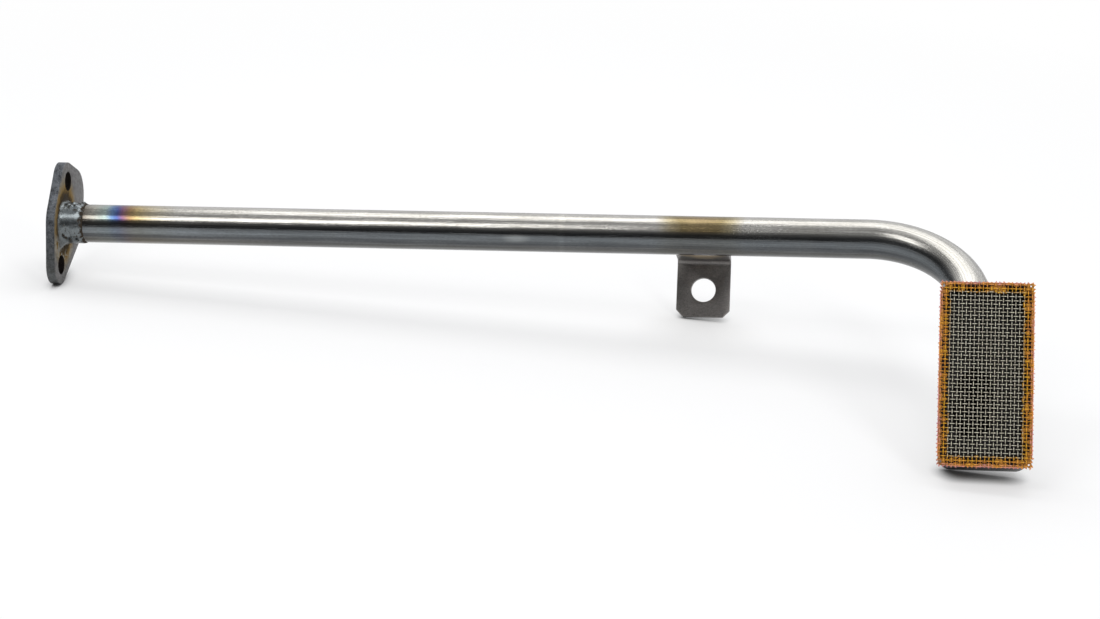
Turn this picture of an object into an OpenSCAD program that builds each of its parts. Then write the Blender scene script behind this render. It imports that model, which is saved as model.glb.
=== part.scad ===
// Oil pickup tube: a flanged steel tube with a bend, a bolt-on bracket and a
// wire screen brazed on a small box. Millimetres.
//
// Each piece is drawn as it hangs in use, round the axis of the tube's straight run:
// X runs from the flange to the bend, Y away from the screen's open side,
// Z up along the line of the flange bolts.
// in_rest() then leans and tips the whole part to the way it lies on a floor.

/* [Tube] */
// Outside diameter of the tube
tube_od = 19.05; // [14:0.05:24]
// Wall of the tube
tube_wall = 1.65; // [0.9:0.05:3]
// Straight run, from the flange's mating face to the start of the bend
run_len = 405.9; // [250:0.1:600]
// Bend radius to the tube's centre line
bend_r = 49.4; // [36:0.1:80]
// Straight leg from the end of the bend to the back of the box
leg_len = 67.4; // [50:0.1:150]
// Slope of the leg, measured from the screen's square line
leg_slope = 48.2; // [30:0.1:54]
// How far the cut end of the tube stands inside the box
tube_in = 2; // [0.5:0.1:5]
// Room round the tube in the flange and in the back of the box
tube_fit = 0.1; // [0:0.05:0.3]

/* [Flange] */
// Plate thickness
flange_t = 4.76; // [3:0.01:10]
// Distance between the two bolt holes
bolt_gap = 43; // [40:0.1:60]
// Bolt hole diameter
bolt_d = 9.3; // [6:0.1:11]
// Radius of the plate round each bolt hole
lobe_r = 9.5; // [8:0.1:13]
// Radius of the plate on its plain side
waist_r = 15.2; // [14:0.1:20]
// Radius of the far corner
ear_r = 11.5; // [8:0.1:16]
// Far corner's centre, out from the bolt line
ear_out = 17.5; // [10:0.1:24]
// Far corner's centre, along the bolt line
ear_up = 4; // [-4:0.1:10]
// Radius of the shoulder next to the upper bolt
shoulder_r = 13.3; // [9:0.1:15]
// Shoulder's centre, out from the bolt line
shoulder_out = 13.5; // [8:0.1:18]
// Shoulder's centre, along the bolt line
shoulder_up = 17.5; // [12:0.1:22]

/* [Bracket] */
// Sheet thickness
bracket_t = 2.7; // [1.5:0.1:4]
// Width along the tube
bracket_w = 26.8; // [20:0.1:40]
// Middle of the bracket, from the flange's mating face
bracket_at = 324.6; // [200:0.1:370]
// Front of the tab, behind the tube's axis
tab_back = 42.8; // [25:0.1:60]
// End of the tab, down from the tube's axis
tab_drop = 32.57; // [29:0.01:48]
// Underside of the level leg, down from the tube's axis
leg_down = 4; // [2:0.1:6]
// Inside radius of the fold
fold_r = 2.5; // [1:0.1:4]
// Bolt hole diameter
tab_hole_d = 12.2; // [6:0.1:14]
// Bolt hole's centre above the tab's end
tab_hole_up = 13.7; // [9:0.1:15]
// Size of the two clipped corners
clip = 3.4; // [1:0.1:5]

/* [Screen box] */
// Outside width
box_w = 39.8; // [30:0.1:60]
// Outside length
box_len = 80.6; // [60:0.1:110]
// Depth from the back to the rim
box_depth = 19; // [14:0.1:35]
// Sheet thickness
box_wall = 1.5; // [0.8:0.1:2.5]
// Radius of the four upright corners
box_corner = 6; // [3:0.1:9]
// Tube's axis on the back, up from the box's lower end
entry_up = 32.3; // [24:0.05:54]
// How far the box stands past the tube's axis, away from the flange
entry_side = 4.4; // [0:0.1:6]

/* [Screen] */
// How far the screen stands over the box's walls
screen_over = 0.6; // [0.2:0.1:1.2]
// Thickness of the woven sheet
screen_t = 1; // [0.6:0.1:2]
// Width of the sheet's closed border
border = 3.8; // [2.5:0.1:6]
// Columns of gaps
gap_cols = 8; // [4:1:8]
// Rows of gaps
gap_rows = 15; // [8:1:15]
// Share of each step of the weave that is open
gap_share = 0.7; // [0.4:0.01:0.8]
// Height of the ridges across the weave
ridge_h = 0.25; // [0.1:0.05:0.5]

/* [Weld and braze] */
// Length of the weld collar along the tube
collar_len = 12.2; // [8:0.1:18]
// Height of the collar's foot on the flange
collar_foot = 4.2; // [2:0.1:5.5]
// Height of the collar on the tube
collar_h = 1.3; // [0.8:0.1:2]
// Radius of the beads between the bracket and the tube
bead_r = 2.6; // [2:0.1:3.4]
// Middle of those beads, out from the crevice
bead_at = 0.6; // [0.2:0.1:1]
// Length of the bead under the leg
bead_front = 20; // [8:0.1:20]
// Length of the bead on top of the leg
bead_rear = 18; // [8:0.1:20]
// Height of the bead round the tube on the box
box_bead_h = 3; // [1.6:0.1:4.5]
// Width of the bead round the tube on the box
box_bead_w = 3; // [1.6:0.1:3.6]
// Thickness of the braze over the screen's border
braze_t = 0.4; // [0.2:0.05:0.8]
// How far the braze runs down the box's walls
braze_down = 2; // [0.8:0.1:4]
// Thickness of the braze on the box's walls
braze_side = 0.8; // [0.4:0.1:1.6]
// Bare strip of the screen's border left inside the braze
braze_bare = 0.9; // [0.3:0.1:1.8]
// Radius of the braze's inner corners
braze_corner = 2; // [1:0.1:4]

/* [Pose] */
// Lean of the part as it lies on a floor
rest_tilt = 31.4; // [28:0.1:37]
// Rise of the tube's run as it lies on a floor
rise = 4.3; // [0:0.1:8]

/* [Hidden] */
$fn = 96;
tube_r = tube_od / 2;
bore_r = tube_r - tube_wall;
// the tube's axis where it meets the back of the box
reach = bend_r + leg_len;
leg_x = run_len + bend_r;
back_y = -reach * cos(leg_slope);
entry_z = -reach * sin(leg_slope);
box_mid_z = entry_z - entry_up + box_len / 2;
// the fold's outside radius and its centre, and the number of flats round it
fold_out = fold_r + bracket_t;
fold = [tab_back - fold_r, -leg_down - fold_r];
fold_steps = 16;
// sheet sizes of the screen
screen_w = box_w + 2 * screen_over;
screen_len = box_len + 2 * screen_over;
weave_w = box_w - 2 * border;
weave_len = box_len - 2 * border;
step_x = weave_w / gap_cols;
step_y = weave_len / gap_rows;
// cuts pass a face by this much
past = 1;
// the flange's straight edges lie this far inside its round corners
inset = 0.004;

// Leans and tips the part to the way it lies.
module in_rest() {
    rotate([0, -rise, 0]) rotate([-rest_tilt, 0, 0]) children();
}

// Local Z runs down the leg from the end of the bend.
module in_leg() {
    rotate([leg_slope, 0, 0]) translate([leg_x, -bend_r, 0]) rotate([90, 0, 0]) children();
}

// Local XY is the back of the box, centred; local Z runs out to the screen.
module in_box() {
    translate([leg_x + entry_side, back_y, box_mid_z]) rotate([90, 0, 0]) children();
}

// Local XY is the plane across the tube; the shape runs a length along it.
module along_tube(at, length) {
    translate([at - length / 2, 0, 0]) rotate([90, 0, 90]) linear_extrude(length) children();
}

// The tube's way as a solid of radius r: run, bend and leg.
module tube_way(r, ends) {
    leg = leg_len + (box_wall + tube_in) / cos(leg_slope) + tube_od;
    translate([-ends, 0, 0]) rotate([0, 90, 0]) cylinder(r = r, h = run_len + ends);
    translate([run_len, -bend_r, 0]) rotate([180, 0, 90])
        rotate_extrude(angle = 90) translate([bend_r, 0]) circle(r = r);
    translate([leg_x, -bend_r, 0]) rotate([90, 0, 0]) cylinder(r = r, h = leg + ends);
}

// A step of length one in a direction.
function way(angle) = [cos(angle), sin(angle)];

// Outer tangent of two circles [x, y, r], on the right of the way from a to b.
function tangent(a, b) =
    let (dx = b[0] - a[0], dy = b[1] - a[1], d = sqrt(dx * dx + dy * dy),
         k = (a[2] - b[2]) / d, m = sqrt(1 - k * k),
         nx = dx / d * k + dy / d * m, ny = dy / d * k - dx / d * m)
    [[a[0] + (a[2] - inset) * nx, a[1] + (a[2] - inset) * ny],
     [b[0] + (b[2] - inset) * nx, b[1] + (b[2] - inset) * ny]];

// The flange's rounded corners, in order round the plate: [out, up, radius].
corners = [[0, bolt_gap / 2, lobe_r], [0, 0, waist_r], [0, -bolt_gap / 2, lobe_r],
    [ear_out, ear_up, ear_r], [shoulder_out, shoulder_up, shoulder_r]];

// The plate's outline: round corners joined by their outer tangents.
module flange_outline() {
    n = len(corners);
    for (c = corners) translate([c[0], c[1]]) circle(r = c[2]);
    polygon([for (i = [0 : n - 1], p = tangent(corners[i], corners[(i + 1) % n])) p]);
}

// A centred rectangle with round corners.
module rounded(w, l, r) {
    square([w - 2 * r, l], center = true);
    square([w, l - 2 * r], center = true);
    for (x = [-1, 1], y = [-1, 1])
        translate([x * (w / 2 - r), y * (l / 2 - r)]) circle(r = r);
}

module flange() {
    color([0.33, 0.34, 0.36]) in_rest() difference() {
        rotate([90, 0, 90]) linear_extrude(flange_t) flange_outline();
        translate([-past, 0, 0]) rotate([0, 90, 0])
            cylinder(r = tube_r + tube_fit, h = flange_t + 2 * past);
        for (z = [-1, 1]) translate([-past, 0, z * bolt_gap / 2])
            rotate([0, 90, 0]) cylinder(d = bolt_d, h = flange_t + 2 * past);
    }
}

module tube() {
    color([0.62, 0.62, 0.6]) in_rest() difference() {
        rotate([leg_slope, 0, 0]) difference() {
            tube_way(tube_r, 0);
            tube_way(bore_r, past);
        }
        in_box() translate([-box_w, -box_len, box_wall + tube_in])
            cube([2 * box_w, 2 * box_len, 4 * tube_od]);
    }
}

module flange_weld() {
    color([0.55, 0.55, 0.54]) in_rest() translate([flange_t, 0, 0]) rotate([0, 90, 0])
        rotate_extrude() polygon([[tube_r, 0], [tube_r + collar_foot, 0],
            [tube_r + collar_h, collar_foot - collar_h],
            [tube_r + collar_h, collar_len - collar_h], [tube_r, collar_len]]);
}

// Points of a round fold about its centre, between two angles.
function arc(r, from, to) =
    [for (i = [0 : fold_steps]) fold + r * way(from + (to - from) * i / fold_steps)];

// The folded sheet, seen along the tube: level leg, fold and hanging tab.
module bracket_profile() {
    polygon(concat(
        [[0, -leg_down], [0, bracket_t - leg_down]],
        arc(fold_out, 90, 0),
        [[tab_back + bracket_t, -tab_drop], [tab_back, -tab_drop]],
        arc(fold_r, 0, 90)));
}

module bracket() {
    color([0.3, 0.29, 0.28]) in_rest() difference() {
        along_tube(bracket_at, bracket_w) bracket_profile();
        translate([bracket_at - bracket_w, 0, 0]) rotate([0, 90, 0])
            cylinder(r = tube_r, h = 2 * bracket_w);
        translate([bracket_at, tab_back - past, tab_hole_up - tab_drop])
            rotate([-90, 0, 0]) cylinder(d = tab_hole_d, h = bracket_t + 2 * past);
        for (x = [-1, 1]) translate([bracket_at + x * bracket_w / 2, tab_back - past, -tab_drop])
            rotate([0, -45 * x, 0]) translate([-2 * clip, 0, -2 * clip])
                cube([4 * clip, bracket_t + 2 * past, 2 * clip + clip / sqrt(2)]);
    }
}

// A bead in the crevice between the tube and one face of the level leg.
module bead_profile(face, side) {
    crevice = sqrt(tube_r * tube_r - face * face);
    difference() {
        translate([crevice + bead_at, face]) intersection() {
            circle(r = bead_r);
            translate([-2 * bead_r, side < 0 ? -2 * bead_r : 0]) square([4 * bead_r, 2 * bead_r]);
        }
        circle(r = tube_r);
    }
}

module bracket_weld_front() {
    color([0.6, 0.54, 0.44]) in_rest() along_tube(bracket_at, bead_front)
        bead_profile(-leg_down, -1);
}

module bracket_weld_rear() {
    color([0.55, 0.52, 0.46]) in_rest() along_tube(bracket_at, bead_rear)
        bead_profile(bracket_t - leg_down, 1);
}

module screen_box() {
    color([0.36, 0.35, 0.34]) in_rest() difference() {
        in_box() difference() {
            linear_extrude(box_depth) rounded(box_w, box_len, box_corner);
            translate([0, 0, box_wall]) linear_extrude(box_depth)
                rounded(box_w - 2 * box_wall, box_len - 2 * box_wall, box_corner - box_wall);
        }
        in_leg() cylinder(r = tube_r + tube_fit, h = 2 * leg_len);
    }
}

module box_weld() {
    color([0.5, 0.49, 0.47]) in_rest() difference() {
        intersection() {
            union() {
                in_leg() cylinder(r = tube_r + box_bead_w / 2, h = 2 * leg_len);
                intersection() {
                    in_leg() cylinder(r = tube_r + box_bead_w, h = 2 * leg_len);
                    in_box() translate([-box_w, -box_len, -box_bead_h / 2])
                        cube([2 * box_w, 2 * box_len, box_bead_h]);
                }
            }
            in_box() translate([-box_w, -box_len, -box_bead_h])
                cube([2 * box_w, 2 * box_len, box_bead_h]);
        }
        in_leg() translate([0, 0, -past]) cylinder(r = tube_r, h = 2 * leg_len + 2 * past);
    }
}

module screen() {
    color([0.55, 0.53, 0.46]) in_rest() in_box() translate([0, 0, box_depth]) difference() {
        union() {
            translate([-screen_w / 2, -screen_len / 2, 0]) cube([screen_w, screen_len, screen_t]);
            for (j = [0 : gap_rows])
                translate([-weave_w / 2, (j - gap_rows / 2) * step_y - step_y * (1 - gap_share) / 4, 0])
                    cube([weave_w, step_y * (1 - gap_share) / 2, screen_t + ridge_h]);
        }
        for (i = [0 : gap_cols - 1], j = [0 : gap_rows - 1])
            translate([(i - gap_cols / 2 + (1 - gap_share) / 2) * step_x,
                       (j - gap_rows / 2 + (1 - gap_share) / 2) * step_y, -past])
                cube([step_x * gap_share, step_y * gap_share, screen_t + ridge_h + 2 * past]);
    }
}

module braze() {
    color([0.72, 0.5, 0.18]) in_rest() in_box() difference() {
        translate([0, 0, box_depth - braze_down])
            linear_extrude(braze_down + screen_t + braze_t)
                rounded(screen_w + 2 * braze_side, screen_len + 2 * braze_side, box_corner);
        linear_extrude(2 * box_depth)
            rounded(weave_w + 2 * braze_bare, weave_len + 2 * braze_bare, braze_corner);
        linear_extrude(box_depth) rounded(box_w, box_len, box_corner);
        translate([-screen_w / 2, -screen_len / 2, box_depth]) cube([screen_w, screen_len, screen_t]);
    }
}

flange();
tube();
flange_weld();
bracket();
bracket_weld_front();
bracket_weld_rear();
screen_box();
box_weld();
screen();
braze();
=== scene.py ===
"""Looks of a steel oil pickup tube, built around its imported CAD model.

Pieces are modelled in millimetres in the frame of the sub-assembly that they belong to and are then
placed into the frame of the CAD model, in metres. Finishes are procedural and read Object coordinates.
"""

import logging
import math
import random
from contextlib import contextmanager
from dataclasses import dataclass, field
from enum import Enum
from typing import Callable, Iterator, Sequence

import bmesh
import bpy
from mathutils import Matrix, Vector, noise


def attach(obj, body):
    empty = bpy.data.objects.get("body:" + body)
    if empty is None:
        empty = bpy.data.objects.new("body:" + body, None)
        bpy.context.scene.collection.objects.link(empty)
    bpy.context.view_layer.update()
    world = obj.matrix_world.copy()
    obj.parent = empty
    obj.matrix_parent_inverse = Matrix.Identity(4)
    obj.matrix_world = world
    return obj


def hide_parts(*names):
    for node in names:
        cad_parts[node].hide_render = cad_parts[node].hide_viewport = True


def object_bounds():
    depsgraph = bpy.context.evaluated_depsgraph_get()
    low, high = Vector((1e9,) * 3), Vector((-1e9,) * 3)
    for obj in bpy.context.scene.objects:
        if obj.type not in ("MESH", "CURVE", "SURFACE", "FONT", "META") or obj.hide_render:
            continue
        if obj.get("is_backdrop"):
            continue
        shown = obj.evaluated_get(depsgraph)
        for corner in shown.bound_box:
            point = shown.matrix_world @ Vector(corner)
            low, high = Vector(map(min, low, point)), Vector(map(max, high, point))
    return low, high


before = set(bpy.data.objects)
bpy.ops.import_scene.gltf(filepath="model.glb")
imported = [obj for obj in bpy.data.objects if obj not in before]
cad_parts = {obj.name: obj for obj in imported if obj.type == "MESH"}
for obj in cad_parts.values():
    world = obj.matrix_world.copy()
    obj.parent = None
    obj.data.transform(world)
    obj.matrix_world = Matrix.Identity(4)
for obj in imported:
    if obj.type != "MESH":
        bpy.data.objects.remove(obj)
log = logging.getLogger("pickup_tube")

MM = 0.001

# Points nearer than these become one, in millimetres
MERGE = 0.0005
CAD_MERGE = 0.002

# Angles in degrees: of edges shaded smooth, of CAD edges that are flat, rounded and shaded smooth
SMOOTH_BELOW = 60
CAD_FLAT_BELOW = 0.5
CAD_ROUND_ABOVE = 40
CAD_SMOOTH_BELOW = 35

# Steps of each rounded edge
EDGE_STEPS = 3

Triple = tuple[float, float, float]
Colour = Triple
Piece = bpy.types.Object
Socket = bpy.types.NodeSocket
Number = Socket | float
Tint = Socket | Colour
Key = str | int
Inputs = dict[Key, Number | Triple]
Stop = tuple[float, Colour]
Pair = tuple[float, float]
Levels = tuple[Pair, ...]


class Slot(Enum):
    """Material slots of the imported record."""

    FLANGE = "flange_steel"
    TUBE = "tube_steel"
    WELD = "weld_metal"
    BRACKET = "bracket_steel"
    BOX = "box_steel"
    WIRE = "screen_wire"
    BRAZE = "braze_metal"


class Edge(Enum):
    """The four edges of the screen, as (side along X, side along Y) of the box's frame."""

    LEFT = (-1, 0)
    RIGHT = (1, 0)
    TOP = (0, 1)
    BOTTOM = (0, -1)


@dataclass(frozen=True)
class Layout:
    """Sizes that the pieces share with the CAD model, in millimetres and degrees.

    The hung frame has X along the tube's run from the flange, Y away from the screen's open side
    and Z up along the line of the flange bolts. The rest frame is the floor's.
    """

    tube_r: float = 9.525
    tube_wall: float = 1.65
    run_len: float = 405.9
    bend_r: float = 49.4
    leg_len: float = 67.4
    leg_slope: float = 48.2
    tube_in: float = 2.0
    flange_t: float = 4.76
    bolt_gap: float = 43.0
    bracket_at: float = 324.6
    bracket_t: float = 2.7
    leg_down: float = 4.0
    box_w: float = 39.8
    box_len: float = 80.6
    box_depth: float = 19.0
    box_wall: float = 1.5
    box_corner: float = 6.0
    entry_up: float = 32.3
    entry_side: float = 4.4
    screen_over: float = 0.6
    screen_t: float = 1.0
    rest_tilt: float = 31.4
    rise: float = 4.3

    def rest(self) -> Matrix:
        """Works out how the part leans and rises on the floor.

        Returns:
            The way from the hung frame in millimetres to the CAD model's frame.
        """
        lean = Matrix.Rotation(math.radians(-self.rest_tilt), 4, "X")
        tip = Matrix.Rotation(math.radians(-self.rise), 4, "Y")
        return Matrix.Scale(MM, 4) @ tip @ lean

    def bend_plane(self) -> Matrix:
        """Returns the way from the plane of the bend, where the leg runs along -Y."""
        return self.rest() @ Matrix.Rotation(math.radians(self.leg_slope), 4, "X")

    def box(self) -> Matrix:
        """Works out the box's frame: its back is XY, and Z runs out to the screen.

        Returns:
            The way from that frame in millimetres to the CAD model's frame.
        """
        slope = math.radians(self.leg_slope)
        reach = self.bend_r + self.leg_len
        middle = -reach * math.sin(slope) - self.entry_up + self.box_len / 2
        across = self.run_len + self.bend_r + self.entry_side
        place = Vector((across, -reach * math.cos(slope), middle))
        return self.rest() @ Matrix.Translation(place) @ Matrix.Rotation(math.radians(90), 4, "X")


LAYOUT = Layout()


def pick_only(piece: Piece) -> None:
    """Selects one object and makes it the active one.

    Args:
        piece: The object that the next operators act on.
    """
    bpy.ops.object.select_all(action="DESELECT")
    piece.select_set(True)
    bpy.context.view_layer.objects.active = piece


@contextmanager
def editing(piece: Piece) -> Iterator[None]:
    """Opens a piece for editing with all of it selected, and closes it afterwards.

    Args:
        piece: The object to edit.

    Returns:
        The context in which the piece is open.
    """
    pick_only(piece)
    bpy.ops.object.mode_set(mode="EDIT")
    bpy.ops.mesh.select_all(action="SELECT")
    yield
    bpy.ops.object.mode_set(mode="OBJECT")


def flip_faces(piece: Piece) -> None:
    """Turns all faces of a piece the other way."""
    with editing(piece):
        bpy.ops.mesh.flip_normals()


def settle(piece: Piece, way: Matrix) -> None:
    """Puts a piece in its place and moves that place into its mesh.

    Args:
        piece: The object to place.
        way: The way from the piece's own frame to the CAD model's frame.
    """
    pick_only(piece)
    piece.matrix_world = way @ piece.matrix_world
    bpy.ops.object.transform_apply(location=True, rotation=True, scale=True)


def apply_modifiers(piece: Piece) -> None:
    """Applies all modifiers of a piece, in order.

    Args:
        piece: The object that carries the modifiers.
    """
    pick_only(piece)
    for name in [m.name for m in piece.modifiers]:
        bpy.ops.object.modifier_apply(modifier=name)


def close_up(piece: Piece, gap: float = MERGE, turn_out: bool = True) -> None:
    """Merges doubled points of a piece and turns its faces outwards.

    Args:
        piece: The object to mend.
        gap: Points nearer than this are merged.
        turn_out: Whether the normals are worked out again.
    """
    with editing(piece):
        bpy.ops.mesh.remove_doubles(threshold=gap)
        if turn_out:
            bpy.ops.mesh.normals_make_consistent(inside=False)


def smooth(piece: Piece, angle: float = SMOOTH_BELOW) -> None:
    """Shades a piece smooth over its edges below an angle in degrees."""
    pick_only(piece)
    bpy.ops.object.shade_smooth_by_angle(angle=math.radians(angle))


def finish_piece(
    piece: Piece, name: str, material: bpy.types.Material, nodes: Sequence[str]
) -> None:
    """Names a finished piece, dresses it and ties it to the CAD model.

    Args:
        piece: The finished object.
        name: Its name.
        material: Its finish.
        nodes: The CAD nodes that it stands for.
    """
    piece.name = name
    piece.data.name = name
    piece.data.materials.clear()
    piece.data.materials.append(material)
    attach(piece, "root")
    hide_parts(*nodes)
    log.info("%s: %d faces", name, len(piece.data.polygons))


def circle_across_x(sides: int, radius: float, x: float = 0.0, filled: bool = False) -> Piece:
    """Adds a circle whose axis is X.

    Args:
        sides: Number of its sides.
        radius: Its radius.
        x: Its place along X.
        filled: Whether it is a disc.

    Returns:
        The new object.
    """
    bpy.ops.object.select_all(action="DESELECT")
    bpy.ops.mesh.primitive_circle_add(
        vertices=sides,
        radius=radius,
        fill_type="NGON" if filled else "NOTHING",
        location=(x, 0.0, 0.0),
        rotation=(0.0, math.radians(90), 0.0),
    )
    bpy.ops.object.transform_apply(location=True, rotation=True, scale=True)
    return bpy.context.object


def extrude(way: Vector, steps: int) -> None:
    """Extrudes what is selected of the open piece by a whole way, in equal steps."""
    for _ in range(steps):
        bpy.ops.mesh.extrude_region_move(TRANSFORM_OT_translate={"value": way / steps})


def ring_piece(major: int, minor: int, shape: Callable[[float, float], Vector], way: Matrix) -> Piece:
    """Models a closed ring from a torus.

    Args:
        major: Segments round the ring.
        minor: Segments round its section.
        shape: Gives a point from the angle round the ring and the angle round the section.
        way: The way from the shape's frame to the CAD model's frame.

    Returns:
        The ring in its place.
    """
    bpy.ops.object.select_all(action="DESELECT")
    radius = 2.0
    bpy.ops.mesh.primitive_torus_add(
        major_segments=major, minor_segments=minor, major_radius=radius, minor_radius=radius / 2
    )
    piece = bpy.context.object
    for point in piece.data.vertices:
        flat = math.hypot(point.co.x, point.co.y) - radius
        point.co = shape(math.atan2(point.co.y, point.co.x), math.atan2(point.co.z, flat))
    close_up(piece)
    settle(piece, way)
    smooth(piece)
    return piece


def bead_piece(segments: int, rings: int, shape: Callable[[float, float], Vector], way: Matrix) -> Piece:
    """Models a closed bead from a ball.

    Args:
        segments: Segments round the bead.
        rings: Rings along the bead.
        shape: Gives a point from the angle round the bead and the way along it, from -1 to 1.
        way: The way from the shape's frame to the CAD model's frame.

    Returns:
        The bead in its place.
    """
    bpy.ops.object.select_all(action="DESELECT")
    bpy.ops.mesh.primitive_uv_sphere_add(segments=segments, ring_count=rings, radius=1.0)
    piece = bpy.context.object
    for point in piece.data.vertices:
        along = 2.0 / math.pi * math.asin(max(-1.0, min(1.0, point.co.z)))
        point.co = shape(math.atan2(point.co.y, point.co.x), along)
    close_up(piece)
    settle(piece, way)
    smooth(piece)
    return piece


def cad_copy(node: str, edge: float) -> Piece:
    """Copies a CAD node, joins its loose triangles and rounds its edges.

    Args:
        node: The node's name.
        edge: Radius of the rounded edges in millimetres.

    Returns:
        The new object.
    """
    piece = bpy.data.objects.new(node + "_dressed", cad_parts[node].data.copy())
    bpy.context.scene.collection.objects.link(piece)
    close_up(piece, CAD_MERGE * MM, turn_out=False)
    with editing(piece):
        bpy.ops.mesh.dissolve_limited(angle_limit=math.radians(CAD_FLAT_BELOW))
    bevel = piece.modifiers.new("worn_edges", "BEVEL")
    bevel.width = edge * MM
    bevel.segments = EDGE_STEPS
    bevel.limit_method = "ANGLE"
    bevel.angle_limit = math.radians(CAD_ROUND_ABOVE)
    bevel.harden_normals = False
    apply_modifiers(piece)
    smooth(piece, CAD_SMOOTH_BELOW)
    return piece


@dataclass(frozen=True)
class Lumps:
    """Smooth random lumps of one height and size, with a seed that shifts their pattern."""

    height: float
    size: float
    seed: float

    def at(self, place: Vector) -> float:
        """Gives the height at a place, up or down by about the lumps' height."""
        shift = Vector((self.seed, 1.7 * self.seed, -self.seed))
        return self.height * noise.noise(place / self.size + shift)


def hill(distance: float, width: float) -> float:
    """Gives the height of a hill, one at its top and about a third at its width."""
    return math.exp(-((distance / width) ** 2))


class Graph:
    """Builds the nodes of one material, or of the world."""

    def __init__(self, owner: "bpy.types.Material | bpy.types.World") -> None:
        """Starts from the nodes that Blender gives a new material or world.

        Args:
            owner: The material or the world.
        """
        owner.use_nodes = True
        self.owner = owner
        self.tree = owner.node_tree
        self.shader = self.tree.nodes.get("Principled BSDF")

    @classmethod
    def named(cls, name: str) -> "Graph":
        """Makes a new material and returns its graph."""
        return cls(bpy.data.materials.new(name))

    def feed(self, value: Number | Triple, socket: Socket) -> None:
        """Links an output to a socket, or sets the socket.

        Args:
            value: An output, a number, a colour or a vector.
            socket: The input that takes it.
        """
        if isinstance(value, Socket):
            self.tree.links.new(value, socket)
        elif isinstance(value, tuple) and len(socket.default_value) == 4:
            socket.default_value = (*value, 1.0)
        else:
            socket.default_value = value

    def add(self, kind: str, output: Key, inputs: Inputs, **settings: str | bool) -> Socket:
        """Adds a node, sets it and feeds its inputs.

        Args:
            kind: Blender's name of the node.
            output: Name or number of the output that is wanted.
            inputs: What its inputs take, by their names or numbers.
            settings: The node's own settings.

        Returns:
            The output.
        """
        node = self.tree.nodes.new("ShaderNode" + kind)
        for name, setting in settings.items():
            setattr(node, name, setting)
        for key, value in inputs.items():
            self.feed(value, node.inputs[key])
        return node.outputs[output]

    def into(self, name: str, value: Number | Colour) -> None:
        """Feeds one named input of the Principled shader."""
        self.feed(value, self.shader.inputs[name])

    def place(self) -> Socket:
        """Gives the Object coordinates."""
        return self.add("TexCoord", "Object", {})

    def local(self, way: Matrix) -> Socket:
        """Gives a piece's own coordinates in millimetres.

        Args:
            way: The way from that frame to the CAD model's frame.

        Returns:
            The vector output.
        """
        inputs = {
            "Vector": self.place(),
            "Location": way.to_translation(),
            "Rotation": way.to_euler(),
            "Scale": (MM, MM, MM),
        }
        return self.add("Mapping", "Vector", inputs, vector_type="TEXTURE")

    def stretch(self, vector: Socket, scale: Triple) -> Socket:
        """Scales a vector along its three axes."""
        return self.add("Mapping", "Vector", {"Vector": vector, "Scale": scale})

    def split(self, vector: Socket) -> tuple[Socket, Socket, Socket]:
        """Splits a vector into its three parts."""
        return tuple(self.add("SeparateXYZ", 0, {0: vector}).node.outputs)

    def vector(self, x: Number, y: Number = 0.0, z: Number = 0.0) -> Socket:
        """Makes a vector of its three parts."""
        return self.add("CombineXYZ", 0, {0: x, 1: y, 2: z})

    def grey(self, level: Number) -> Socket:
        """Makes a grey of a number."""
        return self.add("CombineColor", 0, {0: level, 1: level, 2: level})

    def math(self, what: str, a: Number, b: Number = 0.0, c: Number = 0.0) -> Socket:
        """Works out one step of arithmetic, by Blender's name of it."""
        return self.add("Math", 0, {0: a, 1: b, 2: c}, operation=what)

    def times(self, a: Number, b: Number) -> Socket:
        """Multiplies two numbers."""
        return self.math("MULTIPLY", a, b)

    def scaled(self, a: Number, factor: Number, plus: Number) -> Socket:
        """Multiplies a number by a factor and adds another."""
        return self.math("MULTIPLY_ADD", a, factor, plus)

    def distance(self, vector: Socket, point: Triple) -> Socket:
        """Gives the distance of a place from a point."""
        return self.add("VectorMath", "Value", {0: vector, 1: point}, operation="DISTANCE")

    def noise(self, vector: Socket, scale: float, detail: float = 3.0, rough: float = 0.5) -> Socket:
        """Gives a noise around one half, of waves for each unit and of finer layers with their strength."""
        inputs = {"Vector": vector, "Scale": scale, "Detail": detail, "Roughness": rough}
        return self.add("TexNoise", "Fac", inputs)

    def spread(
        self, value: Socket, low: float, high: float, to_low: float = 0.0, to_high: float = 1.0
    ) -> Socket:
        """Maps the range of a value from low to high to another range, clamped."""
        ends = {"From Min": low, "From Max": high, "To Min": to_low, "To Max": to_high}
        return self.add("MapRange", "Result", {"Value": value, **ends})

    def ramp(self, value: Socket, stops: Sequence[Stop]) -> Socket:
        """Turns a value into a colour.

        Args:
            value: The value, from 0 to 1.
            stops: Places and colours.

        Returns:
            The colour.
        """
        result = self.add("ValToRGB", "Color", {"Fac": value})
        elements = result.node.color_ramp.elements
        while len(elements) < len(stops):
            elements.new(0.5)
        for element, (place, colour) in zip(elements, stops):
            element.position = place
            element.color = (*colour, 1.0)
        return result

    def mix(self, share: Number, a: Tint, b: Tint, how: str = "MIX") -> Socket:
        """Mixes two colours by the share of the second one."""
        return self.add("Mix", 2, {0: share, 6: a, 7: b}, data_type="RGBA", blend_type=how)

    def layer(
        self, colour: Tint, tint: Tint, value: Socket, low: float, high: float, share: float = 1.0
    ) -> Socket:
        """Lays a second colour over a first one, by its whole share where a value reaches the high end."""
        return self.mix(self.spread(value, low, high, 0.0, share), colour, tint)

    def bump(self, height: Socket, depth: float) -> None:
        """Raises the surface by a height from 0 to 1, of a depth in millimetres."""
        inputs = {"Strength": 1.0, "Distance": depth * MM, "Height": height}
        self.into("Normal", self.add("Bump", "Normal", inputs))


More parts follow.
